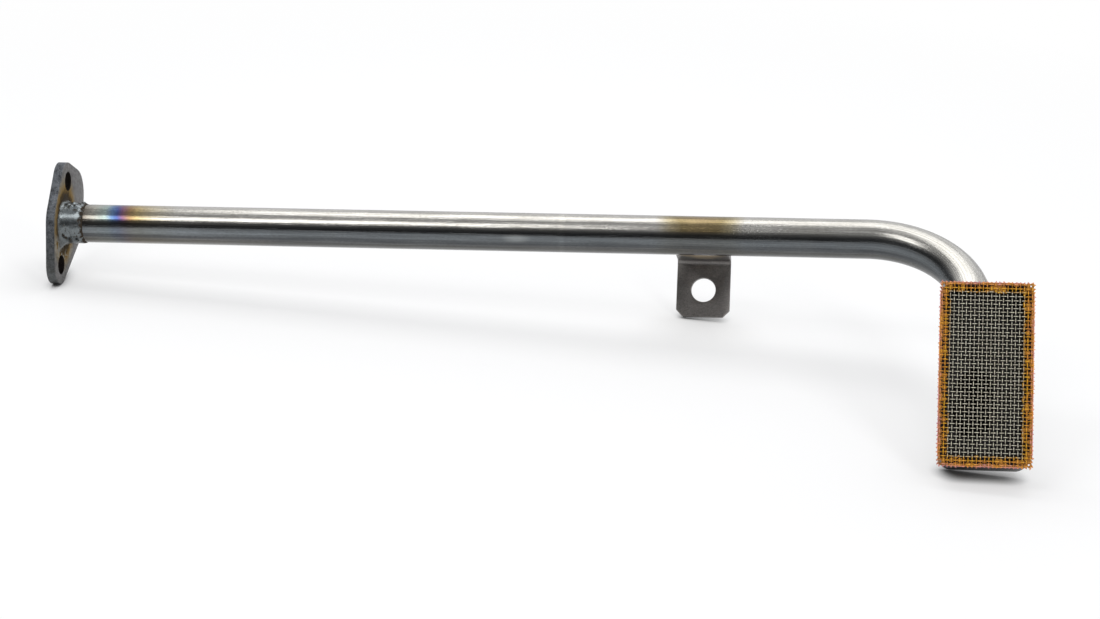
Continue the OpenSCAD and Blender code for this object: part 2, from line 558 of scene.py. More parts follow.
@dataclass(frozen=True)
class DrawnTube:
    """Bright drawn steel with heat tint by the welds."""

    light: Colour = (0.462, 0.450, 0.420)
    dark: Colour = (0.328, 0.318, 0.295)
    blotch: Colour = (0.210, 0.197, 0.160)
    # Near black of the tube's end inside the box: painted shade
    soot_and_shade: Colour = (0.014, 0.013, 0.011)
    # Darker underside further from the flange: painted shade
    painted_dark_underside: Colour = (0.060, 0.066, 0.072)
    dull_patch: Colour = (0.132, 0.137, 0.137)
    scuffs: Pair = (352.0, 26.0)
    pits: Pair = (342.0, 52.0)
    pale_ring: Pair = (258.0, 2.2)
    stains: Pair = (236.0, 9.0)
    weld_end: float = 17.0
    tint_len: float = 48.0
    roughness: float = 0.15
    line_depth: float = 0.085

    def material(self) -> bpy.types.Material:
        """Builds the finish.

        Returns:
            The material.
        """
        g = Graph.named("drawn_tube")
        place = g.local(LAYOUT.rest())
        here = self.unrolled(g)
        x, back, up = g.split(here)
        streaks = g.noise(g.stretch(here, (0.010, 1.1, 1.1)), 1.0, 5.0, 0.6)
        lines = g.noise(g.stretch(here, (0.030, 2.6, 2.6)), 1.0, 4.0, 0.6)
        blotches = g.noise(g.stretch(here, (0.05, 0.14, 0.14)), 1.0, 3.0)
        grain = g.noise(g.stretch(here, (0.7, 4.0, 4.0)), 1.0, 4.0, 0.65)
        colour = g.layer(self.dark, self.light, streaks, 0.3, 0.7)
        colour = g.layer(colour, self.blotch, blotches, 0.4, 0.75, 0.30)
        under = self.painted_underside_bands(g, x, back, up, streaks)
        # Painted reflection and painted shade: the lower half of the tube takes the underside's painted
        # bands
        colour = g.layer(colour, under, up, 0.6, -1.6, 0.9)
        hair = g.spread(lines, 0.34, 0.66, 0.72, 1.22)
        colour = g.mix(0.85, colour, g.grey(hair), "MULTIPLY")
        colour = g.mix(0.6, colour, g.grey(g.spread(grain, 0.3, 0.7, 0.6, 1.35)), "MULTIPLY")
        colour = g.mix(1.0, colour, self.flange_tint(g, x, up, blotches), "MULTIPLY")
        colour = g.mix(1.0, colour, self.bracket_tint(g, place, up, grain), "MULTIPLY")
        colour = g.mix(1.0, colour, self.smudges(g, place, x, grain), "MULTIPLY")
        # Painted shade: the tube's end inside the box turns near black
        _, _, depth = g.split(g.local(LAYOUT.box()))
        on_leg = g.spread(x, LAYOUT.run_len, LAYOUT.run_len + 10.0)
        sooty_and_shaded = g.times(g.spread(depth, 0.4, 1.0), on_leg)
        g.into("Base Color", g.mix(sooty_and_shaded, colour, self.soot_and_shade))
        g.into("Metallic", 1.0)
        worn = g.scaled(grain, 0.20, self.roughness - 0.10)
        scuffed = g.times(self.band(g, x, *self.scuffs), g.spread(grain, 0.4, 0.7, 0.0, 0.12))
        bent = g.spread(x, LAYOUT.run_len - 20.0, LAYOUT.run_len + 20.0, 0.0, 0.10)
        g.into("Roughness", g.math("ADD", g.math("ADD", worn, bent), scuffed))
        height = g.scaled(streaks, 0.35, g.times(lines, 0.65))
        pitted = g.scaled(self.band(g, x, *self.pits), 0.22, 0.07)
        g.bump(g.scaled(grain, pitted, height), self.line_depth)
        return g.owner

    def unrolled(self, g: Graph) -> Socket:
        """Gives the place on the tube as if it were straight.

        Args:
            g: The material's graph.

        Returns:
            The way along the tube's middle, and the place across it as on the run.
        """
        x, y, z = g.split(g.local(LAYOUT.bend_plane()))
        past = g.math("MAXIMUM", g.math("SUBTRACT", x, LAYOUT.run_len), 0.0)
        side = g.math("ADD", y, LAYOUT.bend_r)
        inner = g.math("MAXIMUM", side, 0.0001)
        reach = g.math("SQRT", g.scaled(past, past, g.times(inner, inner)))
        out = g.math("SUBTRACT", reach, LAYOUT.bend_r)
        turn = g.math("ARCTAN2", past, inner)
        along = g.scaled(turn, LAYOUT.bend_r, g.math("MINIMUM", x, LAYOUT.run_len))
        along = g.math("ADD", along, g.math("MAXIMUM", g.times(side, -1.0), 0.0))
        slope = math.radians(LAYOUT.leg_slope)
        back = g.scaled(out, math.cos(slope), g.times(z, -math.sin(slope)))
        up = g.scaled(out, math.sin(slope), g.times(z, math.cos(slope)))
        return g.vector(along, back, up)

    def painted_underside_bands(self, g: Graph, x: Socket, back: Socket, up: Socket, streaks: Socket) -> Socket:
        """Gives painted reflections and painted shade along the underside, bluish and darker low on the
        tube.

        Args:
            g: The material's graph.
            x: The way along the tube.
            back: The place across the tube, away from the screen.
            up: The height across the tube.
            streaks: A noise drawn out along the tube.

        Returns:
            The painted colour of the underside.
        """
        lean = g.scaled(back, -0.165, up)
        lean = g.scaled(g.math("SUBTRACT", streaks, 0.5), 2.6, lean)
        # Painted reflection bands and painted shade, from the dark line under the middle down to the floor
        # behind
        lines = g.ramp(
            g.spread(lean, 0.0, -LAYOUT.tube_r),
            (
                (0.0, (0.118, 0.104, 0.092)),
                (0.16, (0.176, 0.175, 0.172)),
                (0.32, (0.188, 0.205, 0.218)),
                (0.44, (0.252, 0.270, 0.282)),
                (0.56, (0.164, 0.175, 0.185)),
                (0.62, (0.080, 0.083, 0.089)),
                (0.70, (0.101, 0.102, 0.108)),
                (0.75, (0.227, 0.215, 0.205)),
                (0.86, (0.151, 0.134, 0.110)),
                (1.0, (0.277, 0.265, 0.244)),
            ),
        )
        # Painted shade: the underside darker further from the flange, and patchy along the tube
        lines = g.layer(lines, self.painted_dark_underside, x, 70.0, 120.0, 0.55)
        patchy = g.noise(g.stretch(g.vector(x), (0.06, 1.0, 1.0)), 1.0, 3.0)
        return g.layer(lines, self.dull_patch, patchy, 0.35, 0.7, 0.4)

    def flange_tint(self, g: Graph, x: Socket, up: Socket, blotches: Socket) -> Socket:
        """Gives the rings of heat colour next to the flange.

        Args:
            g: The material's graph.
            x: The way along the tube.
            up: The height across the tube.
            blotches: A noise that bends the rings.

        Returns:
            A colour to multiply by.
        """
        bent = g.scaled(blotches, 5.0, x)
        bent = g.scaled(up, 0.1, bent)
        along = g.spread(bent, self.weld_end + 2.5, self.weld_end + 2.5 + self.tint_len)
        tint = g.ramp(
            along,
            (
                (0.0, (0.30, 0.27, 0.24)),
                (0.045, (0.55, 0.52, 0.48)),
                (0.12, (0.78, 0.78, 0.74)),
                (0.255, (0.70, 0.88, 0.90)),
                (0.325, (0.26, 0.45, 0.85)),
                (0.375, (0.16, 0.24, 0.68)),
                (0.43, (0.42, 0.22, 0.40)),
                (0.50, (0.62, 0.40, 0.22)),
                (0.58, (0.86, 0.68, 0.36)),
                (0.76, (0.98, 0.91, 0.74)),
                (1.0, (1.0, 1.0, 1.0)),
            ),
        )
        return g.layer(tint, (0.92, 0.93, 0.94), up, 0.0, -3.0, 0.72)

    def bracket_tint(self, g: Graph, here: Socket, up: Socket, grain: Socket) -> Socket:
        """Gives the heat colour round the bracket's weld.

        Args:
            g: The material's graph.
            here: The place on the tube.
            up: The height across the tube.
            grain: A noise that roughens the rings.

        Returns:
            A colour to multiply by.
        """
        squeeze = 1.05
        squeezed = g.stretch(here, (squeeze, 1.0, 1.0))
        far = g.distance(squeezed, (squeeze * (LAYOUT.bracket_at + 1.0), LAYOUT.tube_r, 0.0))
        far = g.scaled(grain, 1.6, far)
        tint = g.ramp(
            g.spread(far, 0.0, 34.0),
            (
                (0.0, (0.26, 0.24, 0.23)),
                (0.30, (0.36, 0.40, 0.54)),
                (0.44, (0.46, 0.34, 0.42)),
                (0.52, (0.56, 0.43, 0.25)),
                (0.64, (0.52, 0.42, 0.23)),
                (0.74, (0.76, 0.68, 0.49)),
                (0.88, (1.0, 1.0, 1.0)),
            ),
        )
        return g.layer(tint, (0.90, 0.93, 0.96), up, 0.0, -2.5, 0.75)

    def smudges(self, g: Graph, here: Socket, x: Socket, grain: Socket) -> Socket:
        """Gives the pale ring and the stains of the run.

        Args:
            g: The material's graph.
            here: The place on the tube.
            x: The way along the tube.
            grain: A noise that breaks them up.

        Returns:
            A colour to multiply by.
        """
        ring = g.times(self.band(g, x, *self.pale_ring), 0.35)
        stain = g.times(self.band(g, x, *self.stains), g.spread(grain, 0.45, 0.7, 0.0, 0.45))
        scrape = g.distance(g.stretch(here, (0.5, 1.0, 1.4)), (118.0, -8.3, -6.6))
        scrape = g.spread(g.scaled(grain, 4.0, scrape), 6.0, 3.2, 0.0, 0.8)
        colour = g.mix(ring, (1.0, 1.0, 1.0), (1.35, 1.35, 1.32))
        colour = g.mix(scrape, colour, (2.1, 2.05, 1.95))
        return g.mix(stain, colour, (0.72, 0.70, 0.66))

    def band(self, g: Graph, x: Socket, middle: float, half: float) -> Socket:
        """Gives a soft band across the tube, one in its middle and zero at half its width."""
        away = g.math("ABSOLUTE", g.math("SUBTRACT", x, middle))
        return g.spread(away, half, 0.3 * half)


@dataclass(frozen=True)
class CutPlate:
    """Dull cut plate of the flange, mottled on its edge and tinted by the weld."""

    face: Colour = (0.138, 0.136, 0.138)
    edge: Colour = (0.132, 0.142, 0.156)
    spot: Colour = (0.036, 0.037, 0.041)
    glint: Colour = (0.380, 0.395, 0.415)
    low_edge: Colour = (0.089, 0.091, 0.082)
    brushed: Colour = (0.227, 0.223, 0.222)
    stain: Colour = (0.065, 0.056, 0.047)
    speck: Colour = (0.054, 0.052, 0.048)
    glaze: Colour = (0.324, 0.314, 0.278)
    # Near black of the bolt holes' walls: painted shade
    painted_bore_shade: Colour = (0.017, 0.014, 0.013)

    def material(self) -> bpy.types.Material:
        """Builds the finish.

        Returns:
            The material.
        """
        g = Graph.named("cut_plate")
        here = g.local(LAYOUT.rest())
        x, back, up = g.split(here)
        mottle = g.noise(here, 0.42, 5.0, 0.65)
        speckle = g.noise(here, 2.2, 3.0, 0.6)
        brushed = g.noise(g.stretch(here, (1.0, 0.12, 2.6)), 1.0, 3.0)
        on_edge = g.math("SUBTRACT", 1.0, g.spread(x, LAYOUT.flange_t - 0.45, LAYOUT.flange_t - 0.1))
        edge = g.layer(self.edge, self.spot, mottle, 0.40, 0.66)
        edge = g.layer(edge, self.glint, speckle, 0.52, 0.8, 0.7)
        edge = g.layer(edge, self.low_edge, up, -6.0, -26.0, 0.55)
        face = g.layer(self.face, self.brushed, brushed, 0.3, 0.7)
        face = g.layer(face, self.stain, mottle, 0.45, 0.72, 0.6)
        face = g.layer(face, self.speck, speckle, 0.50, 0.72, 0.55)
        far = g.distance(g.stretch(here, (0.0, 1.0, 0.72)), (0.0, 0.0, 0.0))
        far = g.scaled(mottle, 7.0, far)
        tint = g.ramp(
            g.spread(far, 12.0, 27.0),
            (
                (0.0, (0.031, 0.025, 0.018)),
                (0.20, (0.084, 0.056, 0.024)),
                (0.34, (0.258, 0.156, 0.031)),
                (0.46, (0.246, 0.180, 0.074)),
                (0.64, (0.154, 0.144, 0.130)),
            ),
        )
        near = g.spread(far, 23.0, 15.5)
        face = g.mix(g.times(near, 0.9), face, tint)
        glaze = g.spread(g.noise(here, 0.34, 2.0), 0.50, 0.58, 0.0, 0.8)
        glaze = g.times(glaze, g.times(near, g.spread(up, -8.0, -11.0)))
        face = g.mix(glaze, face, self.glaze)
        colour = g.mix(on_edge, face, edge)
        # Painted shade: the bolt holes' walls near black
        for side in (-0.5, 0.5):
            off = g.math("SUBTRACT", up, side * LAYOUT.bolt_gap)
            hole = g.math("SQRT", g.scaled(off, off, g.times(back, back)))
            colour = g.layer(colour, self.painted_bore_shade, hole, 5.0, 4.75)
        g.into("Base Color", colour)
        clean = g.math("MAXIMUM", on_edge, g.math("SUBTRACT", 1.0, near))
        g.into("Metallic", g.times(clean, 0.55))
        g.into("Specular IOR Level", 0.0)
        g.into("Roughness", g.scaled(mottle, 0.35, 0.28))
        g.bump(g.scaled(speckle, 0.5, mottle), 0.14)
        return g.owner


@dataclass(frozen=True)
class WeldMetal:
    """Silver weld metal, burnt brown at its edges."""

    bright: Colour = (0.124, 0.140, 0.146)
    glint: Colour = (0.206, 0.224, 0.230)
    burnt: Colour = (0.041, 0.030, 0.020)
    burnt_share: float = 0.04
    foot: float = 11.3
    name: str = "weld_metal"

    def material(self) -> bpy.types.Material:
        """Builds the finish.

        Returns:
            The material.
        """
        g = Graph.named(self.name)
        here = g.local(LAYOUT.rest())
        x, _, up = g.split(here)
        patches = g.noise(here, 0.32, 4.0, 0.6)
        fine = g.noise(here, 1.8, 4.0, 0.6)
        burnt = g.spread(patches, 0.28 + self.burnt_share, 0.36 + self.burnt_share, 1.0, 0.0)
        torn = g.noise(here, 0.75, 3.0, 0.6)
        ragged = g.scaled(torn, 6.5, x)
        burnt = g.math("MAXIMUM", burnt, g.spread(ragged, 18.0, 19.2))
        round_ = g.distance(g.stretch(here, (0.0, 1.0, 1.0)), (0.0, 0.0, 0.0))
        round_ = g.scaled(patches, 1.6, round_)
        at_foot = g.times(g.spread(round_, self.foot, self.foot + 1.0), g.spread(x, 9.5, 8.0))
        at_foot = g.times(at_foot, g.spread(up, -9.0, -5.0, 0.3, 0.95))
        burnt = g.math("MAXIMUM", burnt, at_foot)
        colour = g.layer(self.bright, self.glint, fine, 0.3, 0.7)
        colour = g.mix(g.times(burnt, 0.95), colour, self.burnt)
        g.into("Base Color", colour)
        g.into("Metallic", g.math("SUBTRACT", 1.0, burnt))
        g.into("Specular IOR Level", 0.0)
        g.into("Roughness", g.scaled(burnt, 0.3, g.scaled(patches, 0.35, 0.10)))
        g.bump(fine, 0.02)
        return g.owner


@dataclass(frozen=True)
class FoldedSheet:
    """Dull dark sheet of the bracket, with painted light that makes it lighter towards its lower end and
    its left edge.
    """

    dark: Colour = (0.127, 0.119, 0.115)
    light: Colour = (0.214, 0.203, 0.196)
    # Lighter lower end and left edge of the tab: painted light
    painted_light_low: Colour = (0.270, 0.254, 0.240)
    painted_light_left: Colour = (0.244, 0.235, 0.218)
    rolled: Colour = (0.324, 0.300, 0.276)
    speck: Colour = (0.072, 0.066, 0.062)
    heated: Colour = (0.583, 0.470, 0.324)

    def material(self) -> bpy.types.Material:
        """Builds the finish.

        Returns:
            The material.
        """
        g = Graph.named("folded_sheet")
        here = g.local(LAYOUT.rest())
        x, _, up = g.split(here)
        cloud = g.noise(here, 0.10, 4.0, 0.55)
        rolled = g.noise(g.stretch(here, (0.25, 2.2, 2.2)), 1.0, 4.0, 0.6)
        fine = g.noise(here, 3.0, 2.0)
        low = g.spread(up, -14.0, -32.0)
        colour = g.layer(self.dark, self.light, cloud, 0.35, 0.65)
        # Painted light: lighter towards the tab's lower end and its left edge
        colour = g.mix(g.times(low, 0.7), colour, self.painted_light_low)
        left = g.spread(x, LAYOUT.bracket_at - 9.0, LAYOUT.bracket_at - 13.4)
        colour = g.mix(g.times(left, 0.4), colour, self.painted_light_left)
        colour = g.layer(colour, self.rolled, rolled, 0.50, 0.75, 0.6)
        colour = g.layer(colour, self.speck, fine, 0.48, 0.70, 0.65)
        squeeze = 0.7
        heat = g.stretch(here, (squeeze, 0.55, 1.0))
        heat = g.distance(heat, (squeeze * LAYOUT.bracket_at, 12.0, -4.0))
        heat = g.spread(g.scaled(cloud, 5.0, heat), 12.5, 8.5)
        colour = g.mix(heat, colour, self.heated)
        g.into("Base Color", colour)
        g.into("Metallic", 0.75)
        g.into("Roughness", g.scaled(rolled, 0.22, 0.30))
        g.bump(g.scaled(rolled, 0.6, fine), 0.02)
        return g.owner


@dataclass(frozen=True)
class BoxSheet:
    """Dull sheet of the screen box, with painted shade that makes it almost black inside."""

    outside: Colour = (0.055, 0.052, 0.050)
    # Near black inside the box: painted shade
    inside: Colour = (0.005, 0.0045, 0.004)
    cloudy: Colour = (0.102, 0.096, 0.091)
    drawn: Colour = (0.036, 0.032, 0.031)
    rim_tint: Colour = (0.102, 0.041, 0.050)
    entry_tint: Colour = (0.144, 0.084, 0.036)

    def material(self) -> bpy.types.Material:
        """Builds the finish.

        Returns:
            The material.
        """
        g = Graph.named("box_sheet")
        here = g.local(LAYOUT.box())
        x, y, z = g.split(here)
        cloud = g.noise(here, 0.12, 4.0, 0.6)
        drawn = g.noise(g.stretch(here, (1.4, 1.4, 0.12)), 1.0, 4.0)
        mid_wall = LAYOUT.box_wall / 2
        clear_x = g.math("LESS_THAN", g.math("ABSOLUTE", x), LAYOUT.box_w / 2 - mid_wall)
        clear_y = g.math("LESS_THAN", g.math("ABSOLUTE", y), LAYOUT.box_len / 2 - mid_wall)
        within = g.times(g.times(clear_x, clear_y), g.math("GREATER_THAN", z, mid_wall))
        colour = g.layer(self.outside, self.cloudy, cloud, 0.35, 0.65)
        colour = g.layer(colour, self.drawn, drawn, 0.5, 0.75, 0.5)
        heat = g.spread(g.scaled(cloud, 6.0, z), 12.0, 21.0)
        colour = g.mix(g.times(heat, 0.7), colour, self.rim_tint)
        entry = LAYOUT.entry_up - LAYOUT.box_len / 2
        squeeze = 0.75
        ring = g.stretch(here, (1.0, squeeze, 1.0))
        ring = g.distance(ring, (-LAYOUT.entry_side, squeeze * entry, 0.0))
        ring = g.spread(g.scaled(cloud, 6.0, ring), 22.0, 15.0)
        colour = g.mix(g.times(ring, 0.7), colour, self.entry_tint)
        # Painted shade: near black inside the box
        g.into("Base Color", g.mix(within, colour, self.inside))
        g.into("Metallic", 0.6)
        g.into("Roughness", g.scaled(drawn, 0.25, 0.38))
        g.bump(g.scaled(drawn, 0.5, cloud), 0.03)
        return g.owner


@dataclass(frozen=True)
class RunBraze:
    """Run brazing metal, gold and orange, pink where it burnt."""

    soot_and_shade: Colour = (0.118, 0.047, 0.018)
    scale: Colour = (0.150, 0.078, 0.034)
    # Darker braze low in the weave: painted shade
    low: Colour = (0.360, 0.150, 0.020)
    depth: float = 0.14

    def material(self) -> bpy.types.Material:
        """Builds the finish.

        Returns:
            The material.
        """
        g = Graph.named("run_braze")
        here = g.local(LAYOUT.box())
        fine = g.noise(here, 2.0, 4.0, 0.6)
        g.into("Base Color", self.colour(g, here))
        g.into("Metallic", 0.2)
        g.into("Specular IOR Level", 0.25)
        g.into("Roughness", g.scaled(fine, 0.3, 0.14))
        g.bump(fine, self.depth)
        return g.owner

    def colour(self, g: Graph, here: Socket) -> Socket:
        """Gives the mottled colour of the braze.

        Args:
            g: The material's graph.
            here: The place in the box's frame.

        Returns:
            The colour.
        """
        wide = g.noise(here, 0.16, 3.0, 0.6)
        small = g.noise(here, 0.75, 3.0, 0.6)
        inside = edge_distance(g, here)
        mottle = g.scaled(small, 0.5, g.times(wide, 0.9))
        hue = g.scaled(inside, 0.11, mottle)
        colour = g.ramp(
            g.spread(hue, 0.58, 1.28),
            (
                (0.0, (0.700, 0.300, 0.320)),
                (0.2, (0.860, 0.360, 0.230)),
                (0.40, (0.930, 0.390, 0.060)),
                (0.60, (0.960, 0.480, 0.030)),
                (0.85, (0.960, 0.550, 0.024)),
                (1.0, (0.620, 0.300, 0.022)),
            ),
        )
        sooty_and_shaded = g.noise(here, 0.5, 4.0, 0.7)
        colour = g.layer(colour, self.soot_and_shade, sooty_and_shaded, 0.58, 0.72, 0.75)
        _, _, z = g.split(here)
        scale = g.spread(z, LAYOUT.box_depth + 0.3, LAYOUT.box_depth - 0.4, 0.0, 0.65)
        colour = g.mix(scale, colour, self.scale)
        # Painted shade: the braze darker low in the weave's recesses
        low = g.times(recess(g, here), g.math("GREATER_THAN", inside, 0.35))
        return g.mix(low, colour, self.low)


@dataclass(frozen=True)
class BrazedWire:
    """Woven steel wire, coloured by the braze towards the edges of the screen."""

    steel: Colour = (0.740, 0.680, 0.530)
    bright: Colour = (0.970, 0.930, 0.780)
    stain: Colour = (0.454, 0.398, 0.270)
    # Dark of the weave's recesses: painted shade
    painted_recess_shade: Colour = (0.050, 0.044, 0.034)
    border: float = 4.6
    braze: RunBraze = RunBraze()

    def material(self) -> bpy.types.Material:
        """Builds the finish.

        Returns:
            The material.
        """
        g = Graph.named("brazed_wire")
        here = g.local(LAYOUT.box())
        inside = edge_distance(g, here)
        cloud = g.noise(here, 0.35, 3.0)
        fine = g.noise(here, 2.6, 3.0)
        colour = g.layer(self.steel, self.bright, fine, 0.3, 0.7)
        colour = g.layer(colour, self.stain, cloud, 0.5, 0.75, 0.5)
        # Painted shade: the wires darker low in the weave's recesses
        colour = g.mix(recess(g, here), colour, self.painted_recess_shade)
        shifted = g.scaled(cloud, 2.4, inside)
        share = g.spread(shifted, self.border + 1.4, self.border + 0.5)
        g.into("Base Color", g.mix(share, colour, self.braze.colour(g, here)))
        g.into("Metallic", g.scaled(share, -0.3, 0.5))
        g.into("Roughness", g.scaled(fine, 0.2, 0.18))
        g.bump(fine, 0.02)
        return g.owner


def edge_distance(g: Graph, here: Socket) -> Socket:
    """Gives the distance of a place from the nearest edge of the screen.

    Args:
        g: The material's graph.
        here: The place in the box's frame.

    Returns:
        The distance, above zero inside the edge.
    """
    x, y, _ = g.split(here)
    from_x = g.math("SUBTRACT", LAYOUT.box_w / 2 + LAYOUT.screen_over, g.math("ABSOLUTE", x))
    from_y = g.math("SUBTRACT", LAYOUT.box_len / 2 + LAYOUT.screen_over, g.math("ABSOLUTE", y))
    return g.math("MINIMUM", from_x, from_y)


def recess(g: Graph, here: Socket) -> Socket:
    """Says how far a place lies down between the wires, for painted shade in the weave's recesses.

    Args:
        g: The material's graph.
        here: The place in the box's frame.

    Returns:
        One low in the weave, zero at its top.
    """
    _, _, z = g.split(here)
    middle = LAYOUT.box_depth + LAYOUT.screen_t / 2
    return g.spread(z, middle + 0.25, middle + 0.02, 0.0, 0.96)


@dataclass
class Tube:
    """The drawn tube: run, bend and leg, cut at a slant inside the box."""

    sides: int = 96
    run_steps: int = 16
    bend_steps: int = 32
    leg_steps: int = 6
    smooth_below: float = 40
    finish: DrawnTube = DrawnTube()

    def build(self) -> None:
        """Models the tube from a circle."""
        slope = math.radians(LAYOUT.leg_slope)
        past = (LAYOUT.box_wall + LAYOUT.tube_in) / math.cos(slope) + 2 * LAYOUT.tube_r
        piece = circle_across_x(self.sides, LAYOUT.tube_r)
        with editing(piece):
            extrude(Vector((LAYOUT.run_len, 0.0, 0.0)), self.run_steps)
            bpy.ops.mesh.spin(
                steps=self.bend_steps,
                angle=math.radians(90),
                center=(LAYOUT.run_len, -LAYOUT.bend_r, 0.0),
                axis=(0.0, 0.0, 1.0),
            )
            extrude(Vector((0.0, -LAYOUT.leg_len - past, 0.0)), self.leg_steps)
        settle(piece, Matrix.Rotation(slope, 4, "X"))
        self.cut_end(piece, slope)
        close_up(piece, 2 * MERGE)
        self.turn_out(piece)
        wall = piece.modifiers.new("wall", "SOLIDIFY")
        wall.thickness = LAYOUT.tube_wall
        wall.offset = -1.0
        apply_modifiers(piece)
        settle(piece, LAYOUT.rest())
        smooth(piece, self.smooth_below)
        finish_piece(piece, "drawn_tube", self.finish.material(), ["tube"])

    def cut_end(self, piece: Piece, slope: float) -> None:
        """Cuts the leg's end parallel to the back of the box.

        Args:
            piece: The tube in the hung frame.
            slope: Slope of the leg in radians.
        """
        reach = LAYOUT.bend_r + LAYOUT.leg_len
        cut = -reach * math.cos(slope) - LAYOUT.box_wall - LAYOUT.tube_in
        with editing(piece):
            bpy.ops.mesh.bisect(plane_co=(0.0, cut, 0.0), plane_no=(0.0, -1.0, 0.0), clear_outer=True)

    def turn_out(self, piece: Piece) -> None:
        """Turns the open skin's faces away from the tube's axis.

        Args:
            piece: The tube in the hung frame.
        """
        first = min(piece.data.polygons, key=lambda face: face.center.x)
        if first.normal.dot(Vector((0.0, first.center.y, first.center.z))) < 0:
            flip_faces(piece)


@dataclass
class Flange:
    """The cut plate and the weld collar that joins the tube to it.

    The collar's foot ran out towards the bolts (angle, extra width, spread), and drops stand on
    its skin (angle, way along the tube, height, width).
    """

    rounds: int = 176
    section: int = 44
    collar_len: float = 12.2
    collar_foot: float = 1.5
    collar_h: float = 0.75
    collar_sink: float = 0.08
    collar_seat: float = 0.05
    skin_share: float = 0.82
    skin_sink: float = 0.06
    skin_least: float = 0.02
    foot_crowd: float = 1.35
    foot_fall: float = 1.25
    end_fade: float = 0.16
    front_half: float = 0.85
    front_calm: float = 0.75
    lump_way: float = 9.0
    foot_lumps: Lumps = Lumps(0.7, 5.0, 3.0)
    wide_lumps: Lumps = Lumps(0.30, 2.8, 8.0)
    fine_lumps: Lumps = Lumps(0.14, 1.4, 5.0)
    end_lumps: Lumps = Lumps(0.5, 3.0, 12.0)
    edge: float = 0.45
    runs: tuple[Triple, ...] = ((1.72, 4.0, 0.30), (-1.80, 3.2, 0.26))
    drops: tuple[tuple[float, float, float, float], ...] = (
        (2.25, 3.4, 0.75, 1.0),
        (2.00, 5.6, 0.65, 1.1),
        (2.40, 5.2, 0.55, 0.9),
        (2.35, 7.6, 0.60, 0.9),
        (1.75, 10.2, 0.90, 1.0),
        (1.95, 11.0, 0.80, 0.8),
        (2.75, 9.4, 0.35, 1.2),
        (-2.30, 3.0, 0.60, 1.2),
        (-1.95, 9.8, 0.50, 1.0),
        (0.40, 4.0, 0.60, 1.3),
        (-0.60, 8.0, 0.50, 1.2),
    )
    finish: CutPlate = CutPlate()
    weld: WeldMetal = WeldMetal()

    def build(self) -> None:
        """Builds the plate and the collar."""
        plate = cad_copy("flange", self.edge)
        finish_piece(plate, "flange_plate", self.finish.material(), ["flange"])
        collar = ring_piece(self.rounds, self.section, self.collar_point, LAYOUT.rest())
        finish_piece(collar, "flange_collar", self.weld.material(), ["flange_weld"])

    def collar_point(self, round_: float, across: float) -> Vector:
        """Gives a point of the collar.

        Args:
            round_: Angle round the tube, from the side away from the screen towards the top bolt.
            across: Angle round the collar's section.

        Returns:
            The point in the hung frame.
        """
        share = across / (2 * math.pi) % 1.0
        if share > self.skin_share:
            back = (share - self.skin_share) / (1 - self.skin_share)
            along, height = self.collar_len * (1 - back), -self.collar_sink
        else:
            along, height = self.skin(round_, share / self.skin_share)
        radius = LAYOUT.tube_r + height
        base = LAYOUT.flange_t - self.collar_seat
        return Vector((base + along, radius * math.cos(round_), radius * math.sin(round_)))

    def skin(self, round_: float, share: float) -> Pair:
        """Gives the lumpy outside of the collar.

        Args:
            round_: Angle round the tube.
            share: Way from the foot to the far end, from 0 to 1.

        Returns:
            The way along the tube and the height over it.
        """
        round_place = LAYOUT.tube_r * Vector((0.0, math.cos(round_), math.sin(round_)))
        place = round_place + Vector((self.lump_way * share, 0.0, 0.0))
        along = self.collar_len * share**self.foot_crowd
        foot = self.collar_foot + self.foot_lumps.at(place)
        for angle, size, width in self.runs:
            foot += size * hill(turn_between(round_, angle), width)
        height = self.collar_h + (foot - self.collar_h) * math.exp(-along / self.foot_fall)
        front = hill(turn_between(round_, math.pi), self.front_half)
        rough = self.wide_lumps.at(place) + self.fine_lumps.at(place)
        rough *= 1.0 - self.front_calm * front
        for angle, spot, size, width in self.drops:
            away = math.hypot(LAYOUT.tube_r * turn_between(round_, angle), along - spot)
            rough += size * hill(away, width)
        fade = min(1.0, (1.0 - share) / self.end_fade)
        height = max(self.skin_least, height + rough) * math.sqrt(fade)
        return along + self.end_lumps.at(place) * share, height - self.skin_sink


def turn_between(a: float, b: float) -> float:
    """Gives the smaller turn between two angles, from 0 to pi."""
    return abs((a - b + math.pi) % (2 * math.pi) - math.pi)


